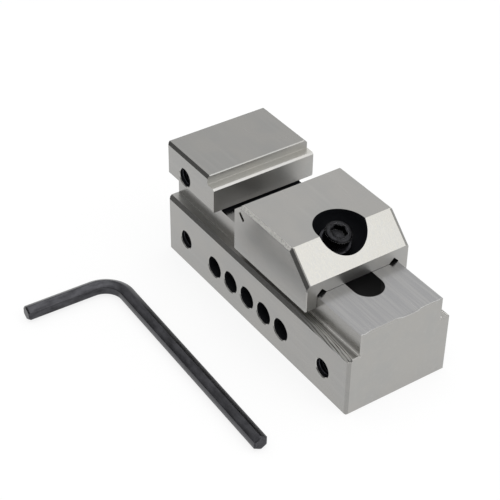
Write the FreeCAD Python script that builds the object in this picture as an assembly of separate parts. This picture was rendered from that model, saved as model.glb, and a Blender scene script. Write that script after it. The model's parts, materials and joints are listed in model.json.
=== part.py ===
import FreeCAD, Part
import math
import os

# Screwless toolmaker's vise for 25 mm wide jaws, with the hex key that tightens it.
# Millimetres. The origin is the middle of the vise's base, +X runs from the fixed
# jaw towards the open end, +Z is up, and the key lies on the -Y side.
# Lengths called "from the back" are measured from the fixed jaw's outer end.

Vector = FreeCAD.Vector

# Vise body, outside
BODY_LENGTH = 64.1
BODY_WIDTH = 25.0
BODY_HEIGHT = 27.8
LEDGE_HEIGHT = 14.0
RAIL_WIDTH = 19.8
RAIL_HEIGHT = 19.2
JAW_UNDERSIDE = 20.1
BODY_EDGE_CHAMFER = 0.25
LEDGE_EDGE_CHAMFER = 0.2
BASE_EDGE_CHAMFER = 0.75
UPRIGHT_EDGE_CHAMFER = 0.6
FIXED_JAW_TOP_CHAMFER = 0.6

# Fixed jaw
FIXED_JAW_FACE = 18.0
STEP_WIDTH = 2.35
STEP_DEPTH = 2.0
STEP_EDGE_CHAMFER = 0.4
FOOT_RELIEF = 1.0

# Slot in the rail and pocket under it, in which the clamping screw and its bar travel
SLOT_WIDTH = 6.7
SLOT_BACK = 20.0
SLOT_FRONT = 56.5
POCKET_WIDTH = 12.6
POCKET_BACK = 13.0
POCKET_FRONT = 50.4
POCKET_CEILING = 7.4
POCKET_CORNER_RADIUS = 2.0

# Row of cross holes, whose upper halves are the seats of the pull bar
SEAT_COUNT = 5
SEAT_PITCH = 6.0
FIRST_SEAT = 18.1
SEAT_HEIGHT = 6.0
SEAT_RADIUS = 2.35
HOLE_MOUTH_CHAMFER = 0.2

# Tapped holes, M4, on both sides
TAPPED_RADIUS = 2.0
TAPPED_DEPTH = 5.4
SIDE_TAPPED_HEIGHT = 6.3
SIDE_TAPPED_BACK = 7.0
SIDE_TAPPED_FRONT = 56.1
JAW_TAPPED_FROM_BACK = 6.9
JAW_TAPPED_HEIGHT = 22.4
DRILL_POINT_ANGLE = 118.0

# Moving jaw
JAW_OPENING = 7.4
MOVING_JAW_LENGTH = 24.8
JAW_SIDE_INSET = 0.02
MOVING_JAW_WIDTH = BODY_WIDTH - 2 * JAW_SIDE_INSET
MOVING_JAW_BOTTOM = 16.0
MOVING_STEP_WIDTH = 2.25
MOVING_STEP_DEPTH = 2.1
NOSE_LENGTH = 5.8
NOSE_DROP = 5.6
MOVING_JAW_SIDE_CHAMFER = 0.6
MOVING_JAW_EDGE_CHAMFER = 0.2
GUIDE_CLEARANCE = 0.05
CORNER_RELIEF_WIDTH = 2.3
STEP_RELIEF_WIDTH = 0.85
STEP_RELIEF_LENGTH = 1.6

# Screw well in the moving jaw: a tilted bore with a ball-ended seat
PIVOT_FROM_BACK = 43.35
PIVOT_HEIGHT = 26.0
WELL_TILT = 22.0
WELL_RADIUS = 5.5
FAN_SLOT_RADIUS = 1.85
SWING_ANGLE = 8.0
SWING_MARGIN_ANGLE = 0.6
RESTING_SEAT_INDEX = 3

# Socket head cap screw, M3, spherical washer and pull bar
SCREW_RADIUS = 1.5
SCREW_LENGTH = 22.0
SCREW_HEAD_RADIUS = 2.8
SCREW_HEAD_HEIGHT = 3.0
SCREW_HEAD_RISE = 0.4
SCREW_HEAD_CHAMFER = 0.3
SCREW_TIP_CHAMFER = 0.35
KEY_ACROSS_FLATS = 2.95
SOCKET_CLEARANCE = 0.04
SOCKET_DEPTH = 1.7
SOCKET_MOUTH_CHAMFER = 0.15
HEAD_CLEARANCE = 0.03
WASHER_RADIUS = 3.45
WASHER_HOLE_RADIUS = 1.7
WASHER_EDGE_CHAMFER = 0.2
BALL_CLEARANCE = 0.05
BAR_CLEARANCE = 0.05
BAR_LENGTH = 11.2
BAR_END_CHAMFER = 0.4
BAR_FLAT_DEPTH = 0.4
THREAD_CLEARANCE = 0.05
BAR_RELEASE_DROP = 3.5

# Spring that pushes the bar down out of its seat
SPRING_OUTER_RADIUS = 2.4
SPRING_WIRE_RADIUS = 0.25
SPRING_COILS = 8
SPRING_SEAT_CLEARANCE = 0.1

# Hex key, lying beside the vise on a corner edge of its bar
KEY_LONG_ARM = 58.5
KEY_SHORT_ARM = 22.2
KEY_BEND_RADIUS = 5.4
KEY_END_CHAMFER = 0.35
KEY_SHORT_ARM_FROM_BACK = 5.65
KEY_LONG_ARM_OFFSET = 29.6
KEY_TURN_ANGLE = -1.5

# Extra reach of a cutting tool past the surface that it cuts, and how far apart
# two values may be and still count as one
OVERCUT = 1.0
SAME_POINT = 1e-6

X_AXIS = Vector(1, 0, 0)
Y_AXIS = Vector(0, 1, 0)
Z_AXIS = Vector(0, 0, 1)
FULL_TURN = 360.0
QUARTER_TURN = 90.0
HALF_WIDTH = BODY_WIDTH / 2
HALF_RAIL = RAIL_WIDTH / 2
HALF_MOVING_JAW = MOVING_JAW_WIDTH / 2


def from_back(distance):
    """Turn a distance from the fixed jaw's outer end into an X coordinate."""
    return distance - BODY_LENGTH / 2


JAW_FACE_X = from_back(FIXED_JAW_FACE)
WORKING_FACE_X = JAW_FACE_X + JAW_OPENING
NOSE_X = WORKING_FACE_X + MOVING_JAW_LENGTH
PIVOT = Vector(from_back(PIVOT_FROM_BACK), 0, PIVOT_HEIGHT)
SEATS_X = [from_back(FIRST_SEAT + SEAT_PITCH * number) for number in range(SEAT_COUNT)]
BAR_RADIUS = SEAT_RADIUS - BAR_CLEARANCE
BALL_RADIUS = WELL_RADIUS - BALL_CLEARANCE
HEX_SIDES = 6
HEX_CORNER_RATIO = 1 / math.cos(math.pi / HEX_SIDES)
HEAD_UNDERSIDE = SCREW_HEAD_HEIGHT - SCREW_HEAD_RISE

# The screw leans from the pivot towards the seat that the bar was last in.
SEAT_OFFSET_X = PIVOT.x - SEATS_X[RESTING_SEAT_INDEX]
SEAT_OFFSET_Z = PIVOT.z - SEAT_HEIGHT
SCREW_LEAN = math.degrees(math.atan2(SEAT_OFFSET_X, SEAT_OFFSET_Z))
SEATED_DISTANCE = math.hypot(SEAT_OFFSET_X, SEAT_OFFSET_Z)
BAR_DISTANCE = SEATED_DISTANCE + BAR_RELEASE_DROP


def lean_direction(degrees):
    """Unit vector from the pivot down along an axis that leans towards the fixed jaw."""
    angle = math.radians(degrees)
    return Vector(-math.sin(angle), 0, -math.cos(angle))


DOWN_SCREW = lean_direction(SCREW_LEAN)


def box(low, high):
    """Block between two opposite corners."""
    size = Vector(*high) - Vector(*low)
    return Part.makeBox(size.x, size.y, size.z, Vector(*low))


def prism_along_x(outline, x_low, x_high):
    """Extrude an outline of (y, z) points along X."""
    points = [Vector(x_low, y, z) for y, z in outline]
    return Part.Face(Part.makePolygon(points + points[:1])).extrude(Vector(x_high - x_low, 0, 0))


def prism_along_y(outline, y_low, y_high):
    """Extrude an outline of (x, z) points along Y."""
    points = [Vector(x, y_low, z) for x, z in outline]
    return Part.Face(Part.makePolygon(points + points[:1])).extrude(Vector(0, y_high - y_low, 0))


def mirrored(outline):
    """Close a right-hand (y, z) outline with its mirror image across Y = 0."""
    return outline + [(-y, z) for y, z in reversed(outline)]


def both_sides(shape):
    """A shape and its mirror image across the vise's middle plane."""
    return [shape, shape.mirror(Vector(0, 0, 0), Y_AXIS)]


def turned_ring(profile, centre, axis):
    """Revolve a profile of (radius, height) points round an axis that starts at centre."""
    points = [Vector(radius, 0, height) for radius, height in profile]
    solid = Part.Face(Part.makePolygon(points + points[:1])).revolve(Vector(), Z_AXIS, FULL_TURN)
    solid.Placement = FreeCAD.Placement(centre, FreeCAD.Rotation(Z_AXIS, axis))
    return solid


def hex_bar(across_flats, length):
    """Hexagonal bar along +Z from the origin, with two flats square to Y."""
    corner = across_flats / 2 * HEX_CORNER_RATIO
    points = []
    for number in range(HEX_SIDES):
        angle = math.radians(number * FULL_TURN / HEX_SIDES)
        points.append(Vector(corner * math.cos(angle), corner * math.sin(angle), 0))
    return Part.Face(Part.makePolygon(points + points[:1])).extrude(Vector(0, 0, length))


def stadium(x_low, x_high, width, z_low, z_high):
    """Upright slot cutter with round ends."""
    radius = width / 2
    height = z_high - z_low
    middle = box((x_low + radius, -radius, z_low), (x_high - radius, radius, z_high))
    ends = [
        Part.makeCylinder(radius, height, Vector(x, 0, z_low), Z_AXIS)
        for x in (x_low + radius, x_high - radius)
    ]
    return middle.fuse(ends)


def rounded_pocket(x_low, x_high, width, z_low, z_high, radius):
    """Milled pocket cutter with rounded upright corners."""
    block = box((x_low, -width / 2, z_low), (x_high, width / 2, z_high))
    upright = [edge for edge in block.Edges if abs(edge.tangentAt(edge.FirstParameter).z) > 0.9]
    return block.makeFillet(radius, upright)


def side_hole(radius, depth, x, z, mouth_chamfer):
    """Blind hole cutter into the -Y side, with a drill point and a chamfered mouth."""
    point = radius / math.tan(math.radians(DRILL_POINT_ANGLE / 2))
    mouth = radius + mouth_chamfer
    profile = [
        (0, OVERCUT),
        (mouth + OVERCUT, OVERCUT),
        (mouth, 0),
        (radius, -mouth_chamfer),
        (radius, -depth),
        (0, -depth - point),
    ]
    return turned_ring(profile, Vector(x, -HALF_WIDTH, z), -Y_AXIS)


def cross_hole(x):
    """Cutter for one hole through the body, with chamfered mouths."""
    mouth = SEAT_RADIUS + HOLE_MOUTH_CHAMFER
    profile = [
        (0, OVERCUT),
        (mouth + OVERCUT, OVERCUT),
        (mouth, 0),
        (SEAT_RADIUS, -HOLE_MOUTH_CHAMFER),
        (SEAT_RADIUS, -BODY_WIDTH + HOLE_MOUTH_CHAMFER),
        (mouth, -BODY_WIDTH),
        (mouth + OVERCUT, -BODY_WIDTH - OVERCUT),
        (0, -BODY_WIDTH - OVERCUT),
    ]
    return turned_ring(profile, Vector(x, -HALF_WIDTH, SEAT_HEIGHT), -Y_AXIS)


def body_section():
    """Outline of the body seen from its end: base, undercut neck and fixed jaw."""
    small = BODY_EDGE_CHAMFER
    top = FIXED_JAW_TOP_CHAMFER
    base = BASE_EDGE_CHAMFER
    under = LEDGE_EDGE_CHAMFER
    right = [
        (HALF_WIDTH - small, 0),
        (HALF_WIDTH, small),
        (HALF_WIDTH, LEDGE_HEIGHT - base),
        (HALF_WIDTH - base, LEDGE_HEIGHT),
        (HALF_RAIL, LEDGE_HEIGHT),
        (HALF_RAIL, JAW_UNDERSIDE),
        (HALF_WIDTH - under, JAW_UNDERSIDE),
        (HALF_WIDTH, JAW_UNDERSIDE + under),
        (HALF_WIDTH, BODY_HEIGHT - top),
        (HALF_WIDTH - top, BODY_HEIGHT),
    ]
    return mirrored(right)


def rail_waste():
    """Metal above the rail in front of the fixed jaw, with the groove at the jaw's foot."""
    step_x = JAW_FACE_X - STEP_WIDTH
    step_z = BODY_HEIGHT - STEP_DEPTH
    edge = STEP_EDGE_CHAMFER
    outline = [
        (JAW_FACE_X - FOOT_RELIEF, RAIL_HEIGHT),
        (JAW_FACE_X - FOOT_RELIEF, JAW_UNDERSIDE),
        (JAW_FACE_X, JAW_UNDERSIDE),
        (JAW_FACE_X, step_z - edge),
        (JAW_FACE_X - edge, step_z),
        (step_x, step_z),
        (step_x, BODY_HEIGHT - LEDGE_EDGE_CHAMFER),
        (step_x - LEDGE_EDGE_CHAMFER, BODY_HEIGHT),
        (step_x - LEDGE_EDGE_CHAMFER, BODY_HEIGHT + OVERCUT),
        (BODY_LENGTH / 2 + OVERCUT, BODY_HEIGHT + OVERCUT),
        (BODY_LENGTH / 2 + OVERCUT, RAIL_HEIGHT),
    ]
    return prism_along_y(outline, -HALF_WIDTH - OVERCUT, HALF_WIDTH + OVERCUT)


def end_edges(shape, x):
    """Edges of a shape that lie in the plane at X = x."""
    return [edge for edge in shape.Edges if all(abs(vertex.X - x) < SAME_POINT for vertex in edge.Vertexes)]


def rail_edge_waste():
    """Small chamfers along the rail's two top edges."""
    edge = BODY_EDGE_CHAMFER
    corner = [
        (HALF_RAIL - edge, RAIL_HEIGHT),
        (HALF_RAIL, RAIL_HEIGHT - edge),
        (HALF_RAIL + edge, RAIL_HEIGHT),
        (HALF_RAIL, RAIL_HEIGHT + edge),
    ]
    return both_sides(prism_along_x(corner, JAW_FACE_X - FOOT_RELIEF, BODY_LENGTH / 2 + OVERCUT))


def plan_block(back_x, front_x, half_width, edge, height):
    """Upright block whose four upright edges are chamfered."""
    outline = [
        (back_x + edge, half_width),
        (front_x - edge, half_width),
        (front_x, half_width - edge),
        (front_x, edge - half_width),
        (front_x - edge, -half_width),
        (back_x + edge, -half_width),
        (back_x, edge - half_width),
        (back_x, half_width - edge),
    ]
    points = [Vector(x, y, 0) for x, y in outline]
    return Part.Face(Part.makePolygon(points + points[:1])).extrude(Vector(0, 0, height))


def vise_body():
    """Base, rail and fixed jaw, ground from one block."""
    half_length = BODY_LENGTH / 2
    body = prism_along_x(body_section(), -half_length, half_length).cut(rail_waste())
    ends = end_edges(body, -half_length) + end_edges(body, half_length)
    body = body.makeChamfer(BODY_EDGE_CHAMFER, ends)
    body = body.common(plan_block(-half_length, half_length, HALF_WIDTH, UPRIGHT_EDGE_CHAMFER, BODY_HEIGHT))
    slot = stadium(
        from_back(SLOT_BACK),
        from_back(SLOT_FRONT),
        SLOT_WIDTH,
        POCKET_CEILING - OVERCUT,
        RAIL_HEIGHT + OVERCUT,
    )
    pocket = rounded_pocket(
        from_back(POCKET_BACK),
        from_back(POCKET_FRONT),
        POCKET_WIDTH,
        -OVERCUT,
        POCKET_CEILING,
        POCKET_CORNER_RADIUS,
    )
    cuts = [slot, pocket] + rail_edge_waste() + [cross_hole(x) for x in SEATS_X]
    tapped = [
        (SIDE_TAPPED_BACK, SIDE_TAPPED_HEIGHT),
        (SIDE_TAPPED_FRONT, SIDE_TAPPED_HEIGHT),
        (JAW_TAPPED_FROM_BACK, JAW_TAPPED_HEIGHT),
    ]
    for distance, height in tapped:
        hole = side_hole(TAPPED_RADIUS, TAPPED_DEPTH, from_back(distance), height, HOLE_MOUTH_CHAMFER)
        cuts += both_sides(hole)
    return body.cut(cuts)


def jaw_side_profile():
    """Outline of the moving jaw seen from its side, with the step and the sloping nose."""
    edge = MOVING_JAW_EDGE_CHAMFER
    step_x = WORKING_FACE_X + MOVING_STEP_WIDTH
    step_z = BODY_HEIGHT - MOVING_STEP_DEPTH
    return [
        (WORKING_FACE_X, MOVING_JAW_BOTTOM + edge),
        (WORKING_FACE_X, step_z - edge),
        (WORKING_FACE_X + edge, step_z),
        (step_x, step_z),
        (step_x, BODY_HEIGHT - edge),
        (step_x + edge, BODY_HEIGHT),
        (NOSE_X - NOSE_LENGTH, BODY_HEIGHT),
        (NOSE_X, BODY_HEIGHT - NOSE_DROP),
        (NOSE_X, MOVING_JAW_BOTTOM + edge),
        (NOSE_X - edge, MOVING_JAW_BOTTOM),
        (WORKING_FACE_X + edge, MOVING_JAW_BOTTOM),
    ]


def jaw_channel():
    """Cutter for the channel that straddles the rail, with relief grooves in its corners."""
    half = HALF_RAIL + GUIDE_CLEARANCE
    roof = RAIL_HEIGHT + GUIDE_CLEARANCE
    relief = CORNER_RELIEF_WIDTH
    right = [
        (half, MOVING_JAW_BOTTOM - OVERCUT),
        (half, roof),
        (half - relief / 2, roof + relief / 2),
        (half - relief, roof),
    ]
    return prism_along_x(mirrored(right), WORKING_FACE_X - OVERCUT, NOSE_X + OVERCUT)


def step_relief():
    """Narrow 45 degree groove in the inner corner of the moving jaw's step."""
    corner_x = WORKING_FACE_X + MOVING_STEP_WIDTH
    corner_z = BODY_HEIGHT - MOVING_STEP_DEPTH
    block = box(
        (-STEP_RELIEF_WIDTH, -HALF_MOVING_JAW - OVERCUT, -STEP_RELIEF_WIDTH / 2),
        (STEP_RELIEF_LENGTH, HALF_MOVING_JAW + OVERCUT, STEP_RELIEF_WIDTH / 2),
    )
    block.Placement = FreeCAD.Placement(Vector(corner_x, 0, corner_z), FreeCAD.Rotation(Y_AXIS, 45))
    return block


def screw_well():
    """Cutter for the tilted bore and the ball seat at its bottom."""
    up = -lean_direction(WELL_TILT)
    bore = Part.makeCylinder(WELL_RADIUS, BODY_HEIGHT, PIVOT, up)
    return bore.fuse(Part.makeSphere(WELL_RADIUS, PIVOT))


def swing_slot():
    """Cutter for the fan-shaped slot in which the screw's shank swings."""
    reach = BODY_HEIGHT
    steep = lean_direction(SCREW_LEAN - SWING_MARGIN_ANGLE)
    flat = lean_direction(SCREW_LEAN + SWING_ANGLE + SWING_MARGIN_ANGLE)
    shanks = [Part.makeCylinder(FAN_SLOT_RADIUS, reach, PIVOT, way) for way in (steep, flat)]
    tips = [PIVOT, PIVOT + steep * reach, PIVOT + flat * reach]
    fan = prism_along_y([(tip.x, tip.z) for tip in tips], -FAN_SLOT_RADIUS, FAN_SLOT_RADIUS)
    return fan.fuse(shanks)


def jaw_block():
    """Block of the moving jaw with its nose, chamfered along the top and the slope."""
    outline = [
        (WORKING_FACE_X, MOVING_JAW_BOTTOM),
        (WORKING_FACE_X, BODY_HEIGHT),
        (NOSE_X - NOSE_LENGTH, BODY_HEIGHT),
        (NOSE_X, BODY_HEIGHT - NOSE_DROP),
        (NOSE_X, MOVING_JAW_BOTTOM),
    ]
    block = prism_along_y(outline, -HALF_MOVING_JAW, HALF_MOVING_JAW)
    top_edges = []
    for edge in block.Edges:
        middle = edge.CenterOfMass
        on_side = edge.BoundBox.YLength < SAME_POINT
        on_slope = edge.BoundBox.ZLength > SAME_POINT and edge.BoundBox.XLength > SAME_POINT
        if on_side and (middle.z > BODY_HEIGHT - SAME_POINT or on_slope):
            top_edges.append(edge)
    return block.makeChamfer(MOVING_JAW_SIDE_CHAMFER, top_edges)


def moving_jaw():
    """Jaw that slides on the rail and carries the clamping screw."""
    side = prism_along_y(jaw_side_profile(), -HALF_MOVING_JAW, HALF_MOVING_JAW)
    plan = plan_block(WORKING_FACE_X, NOSE_X, HALF_MOVING_JAW, MOVING_JAW_EDGE_CHAMFER, BODY_HEIGHT)
    jaw = jaw_block().common(side).common(plan)
    return jaw.cut([jaw_channel(), step_relief(), screw_well(), swing_slot()])


def clamp_screw():
    """Socket head cap screw, leaning from the pivot towards the bar's seat."""
    head = SCREW_HEAD_RADIUS
    top = -SCREW_HEAD_RISE
    tip = HEAD_UNDERSIDE + SCREW_LENGTH
    profile = [
        (0, top),
        (head - SCREW_HEAD_CHAMFER, top),
        (head, top + SCREW_HEAD_CHAMFER),
        (head, HEAD_UNDERSIDE),
        (SCREW_RADIUS, HEAD_UNDERSIDE),
        (SCREW_RADIUS, tip - SCREW_TIP_CHAMFER),
        (SCREW_RADIUS - SCREW_TIP_CHAMFER, tip),
        (0, tip),
    ]
    screw = turned_ring(profile, PIVOT, DOWN_SCREW)
    socket_flats = KEY_ACROSS_FLATS + 2 * SOCKET_CLEARANCE
    socket = hex_bar(socket_flats, SOCKET_DEPTH + OVERCUT)
    socket.translate(Vector(0, 0, -OVERCUT))
    corner = socket_flats / 2 * HEX_CORNER_RATIO
    mouth = Part.makeCone(corner + SOCKET_MOUTH_CHAMFER, corner - SOCKET_MOUTH_CHAMFER, 2 * SOCKET_MOUTH_CHAMFER)
    drill_point = Part.makeCone(socket_flats / 2, 0, socket_flats / 4, Vector(0, 0, SOCKET_DEPTH))
    cutter = socket.fuse([mouth, drill_point])
    cutter.Placement = FreeCAD.Placement(PIVOT + DOWN_SCREW * top, FreeCAD.Rotation(Z_AXIS, DOWN_SCREW))
    return screw.cut(cutter)


def spherical_washer():
    """Ring between the screw head and the ball seat, round on its underside."""
    top = HEAD_UNDERSIDE + HEAD_CLEARANCE
    ball = Part.makeSphere(BALL_RADIUS)
    ring_profile = [
        (WASHER_HOLE_RADIUS, top),
        (WASHER_RADIUS - WASHER_EDGE_CHAMFER, top),
        (WASHER_RADIUS, top + WASHER_EDGE_CHAMFER),
        (WASHER_RADIUS, BALL_RADIUS + OVERCUT),
        (WASHER_HOLE_RADIUS, BALL_RADIUS + OVERCUT),
    ]
    washer = turned_ring(ring_profile, Vector(), Z_AXIS).common(ball)
    washer.Placement = FreeCAD.Placement(PIVOT, FreeCAD.Rotation(Z_AXIS, DOWN_SCREW))
    return washer


def pull_bar():
    """Round cross bar that the screw is tapped into, with a spring flat on its top."""
    centre = PIVOT + DOWN_SCREW * BAR_DISTANCE
    end_radius = BAR_RADIUS - BAR_END_CHAMFER
    half = BAR_LENGTH / 2
    profile = [
        (0, -half),
        (end_radius, -half),
        (BAR_RADIUS, -half + BAR_END_CHAMFER),
        (BAR_RADIUS, half - BAR_END_CHAMFER),
        (end_radius, half),
        (0, half),
    ]
    bar = turned_ring(profile, centre, Y_AXIS)
    thread = Part.makeCylinder(
        SCREW_RADIUS + THREAD_CLEARANCE,
        2 * BAR_RADIUS + 2 * OVERCUT,
        centre - DOWN_SCREW * (BAR_RADIUS + OVERCUT),
        DOWN_SCREW,
    )
    flat_radius = SPRING_OUTER_RADIUS + SPRING_SEAT_CLEARANCE
    flat = Part.makeCylinder(
        flat_radius,
        BAR_RADIUS,
        centre - DOWN_SCREW * (BAR_RADIUS - BAR_FLAT_DEPTH),
        -DOWN_SCREW,
    )
    return bar.cut([thread, flat])


def bar_spring():
    """Compression spring round the screw, between the moving jaw's roof and the bar."""
    coil_radius = SPRING_OUTER_RADIUS - SPRING_WIRE_RADIUS
    lean = math.radians(SCREW_LEAN)
    roof = RAIL_HEIGHT + GUIDE_CLEARANCE
    below_roof = (PIVOT.z - roof + SPRING_OUTER_RADIUS * math.sin(lean)) / math.cos(lean)
    top = below_roof + SPRING_WIRE_RADIUS + SPRING_SEAT_CLEARANCE
    bottom = BAR_DISTANCE - BAR_RADIUS + BAR_FLAT_DEPTH - SPRING_WIRE_RADIUS - SPRING_SEAT_CLEARANCE
    height = bottom - top
    helix = Part.makeHelix(height / SPRING_COILS, height, coil_radius)
    wire = Part.Circle(Vector(coil_radius, 0, 0), Y_AXIS, SPRING_WIRE_RADIUS).toShape()
    spring = Part.Wire(helix).makePipeShell([Part.Wire(wire)], True, True)
    spring.Placement = FreeCAD.Placement(PIVOT + DOWN_SCREW * top, FreeCAD.Rotation(Z_AXIS, DOWN_SCREW))
    return Part.Solid(spring) if spring.ShapeType == "Shell" else spring


def key_arm(start, direction, length):
    """One straight arm of the key, from the bend to its chamfered end."""
    arm = hex_bar(KEY_ACROSS_FLATS, length)
    corner = KEY_ACROSS_FLATS / 2 * HEX_CORNER_RATIO
    envelope = [
        (0, 0),
        (corner + OVERCUT, 0),
        (corner + OVERCUT, length - KEY_END_CHAMFER - OVERCUT),
        (corner, length - KEY_END_CHAMFER),
        (corner - KEY_END_CHAMFER, length),
        (0, length),
    ]
    arm = arm.common(turned_ring(envelope, Vector(), Z_AXIS))
    angle = math.degrees(math.atan2(direction.y, direction.x))
    lay_down = FreeCAD.Rotation(Y_AXIS, QUARTER_TURN)
    arm.Placement = FreeCAD.Placement(start, FreeCAD.Rotation(Z_AXIS, angle).multiply(lay_down))
    return arm


def hex_key():
    """Bent hexagonal key, lying on the same surface as the vise."""
    half = KEY_ACROSS_FLATS / 2
    height = half * HEX_CORNER_RATIO
    corner_x = from_back(KEY_SHORT_ARM_FROM_BACK)
    corner_y = -KEY_LONG_ARM_OFFSET
    centre = Vector(corner_x + KEY_BEND_RADIUS, corner_y - KEY_BEND_RADIUS, height)
    long_start = Vector(centre.x, corner_y, height)
    short_start = Vector(corner_x, centre.y, height)
    long_arm = key_arm(long_start, X_AXIS, KEY_LONG_ARM - half - KEY_BEND_RADIUS)
    short_arm = key_arm(short_start, -Y_AXIS, KEY_SHORT_ARM - half - KEY_BEND_RADIUS)
    start_face = [face for face in long_arm.Faces if face.BoundBox.XLength < SAME_POINT]
    start_face = min(start_face, key=lambda face: face.CenterOfMass.x)
    bend = start_face.revolve(centre, Z_AXIS, QUARTER_TURN)
    key = long_arm.fuse([bend, short_arm]).removeSplitter()
    return key.rotate(Vector(corner_x, corner_y, 0), Z_AXIS, KEY_TURN_ANGLE)


NODES = {
    "vise_body": vise_body,
    "moving_jaw": moving_jaw,
    "clamp_screw": clamp_screw,
    "spherical_washer": spherical_washer,
    "pull_bar": pull_bar,
    "bar_spring": bar_spring,
    "hex_key": hex_key,
}


def main():
    """Build every piece and write one file for each."""
    os.makedirs("parts", exist_ok=True)
    for name, make in NODES.items():
        shape = make()
        if len(shape.Solids) == 1:
            shape = shape.Solids[0]
        bounds = shape.BoundBox
        print(
            f"{name}: valid {shape.isValid()}, solids {len(shape.Solids)}, volume {shape.Volume:.2f},"
            f" x {bounds.XMin:.2f} {bounds.XMax:.2f}, y {bounds.YMin:.2f} {bounds.YMax:.2f},"
            f" z {bounds.ZMin:.2f} {bounds.ZMax:.2f}"
        )
        shape.exportStep(f"parts/{name}.step")


main()
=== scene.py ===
"""Looks of the screwless vise and its hex key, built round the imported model.

Lengths named in this file are in millimetres, in the row frame, and are turned into
metres where a mesh or a node takes them.
"""

import json
import logging
import math
from dataclasses import dataclass, replace
from enum import Enum

import bmesh
import bpy
from mathutils import Matrix, Vector

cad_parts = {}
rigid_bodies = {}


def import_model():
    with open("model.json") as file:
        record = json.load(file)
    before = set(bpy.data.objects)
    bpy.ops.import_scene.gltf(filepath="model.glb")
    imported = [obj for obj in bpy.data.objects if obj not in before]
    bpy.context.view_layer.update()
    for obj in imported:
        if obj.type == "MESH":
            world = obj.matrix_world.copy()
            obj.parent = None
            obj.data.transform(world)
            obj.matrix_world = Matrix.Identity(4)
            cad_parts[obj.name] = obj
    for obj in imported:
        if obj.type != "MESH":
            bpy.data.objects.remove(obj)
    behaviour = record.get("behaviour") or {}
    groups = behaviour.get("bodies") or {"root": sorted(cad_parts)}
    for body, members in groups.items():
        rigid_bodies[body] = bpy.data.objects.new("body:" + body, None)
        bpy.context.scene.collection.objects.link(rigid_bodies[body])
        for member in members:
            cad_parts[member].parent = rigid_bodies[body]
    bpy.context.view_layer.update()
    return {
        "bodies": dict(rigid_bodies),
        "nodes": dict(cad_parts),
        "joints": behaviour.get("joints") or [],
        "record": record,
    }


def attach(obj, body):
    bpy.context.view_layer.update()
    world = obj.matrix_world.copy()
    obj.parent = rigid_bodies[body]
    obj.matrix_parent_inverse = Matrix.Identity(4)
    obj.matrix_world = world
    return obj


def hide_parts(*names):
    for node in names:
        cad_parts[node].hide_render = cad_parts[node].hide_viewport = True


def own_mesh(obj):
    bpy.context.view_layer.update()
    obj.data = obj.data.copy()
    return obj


MM = 0.001
LOG = logging.getLogger("vise")

Point = tuple[float, float, float]
Colour = tuple[float, float, float]
Span = tuple[float, float]
Settings = dict[str, object] | None
Inputs = dict[str | int, object] | None

BLACK: Colour = (0.0, 0.0, 0.0)
BEVEL_SAMPLES = 6

# A normal faces along an axis from the first number on, and lies level from the second.
FACES = 0.9
LEVEL = 0.95

# How far a dark zone reaches past the wall that it marks.
ZONE_MARGIN = 0.03


class Value:
    """A number in a shader tree. Its operators add the Math nodes."""

    def __init__(self, graph: "Graph", socket: bpy.types.NodeSocket) -> None:
        """Wrap one output socket.

        Args:
            graph: The tree that the socket is in.
            socket: The output that carries the number.
        """
        self.graph = graph
        self.socket = socket

    def __add__(self, other: "Value | float") -> "Value":
        """Sum."""
        return self.graph.math("ADD", self, other)

    def __radd__(self, other: float) -> "Value":
        """Sum, the other way round."""
        return self.graph.math("ADD", other, self)

    def __sub__(self, other: "Value | float") -> "Value":
        """Difference."""
        return self.graph.math("SUBTRACT", self, other)

    def __rsub__(self, other: float) -> "Value":
        """Difference, the other way round."""
        return self.graph.math("SUBTRACT", other, self)

    def __mul__(self, other: "Value | float") -> "Value":
        """Product."""
        return self.graph.math("MULTIPLY", self, other)

    def __rmul__(self, other: float) -> "Value":
        """Product, the other way round."""
        return self.graph.math("MULTIPLY", other, self)

    def __truediv__(self, other: "Value | float") -> "Value":
        """Quotient."""
        return self.graph.math("DIVIDE", self, other)

    def __rtruediv__(self, other: float) -> "Value":
        """Quotient, the other way round."""
        return self.graph.math("DIVIDE", other, self)

    def __lt__(self, other: "Value | float") -> "Value":
        """1 where this is below the other, and 0 elsewhere."""
        return self.graph.math("LESS_THAN", self, other)

    def __gt__(self, other: "Value | float") -> "Value":
        """1 where this is above the other, and 0 elsewhere."""
        return self.graph.math("GREATER_THAN", self, other)

    def __abs__(self) -> "Value":
        """Size without its sign."""
        return self.graph.math("ABSOLUTE", self)

    def either(self, other: "Value") -> "Value":
        """The larger of two masks."""
        return self.graph.math("MAXIMUM", self, other)


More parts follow.
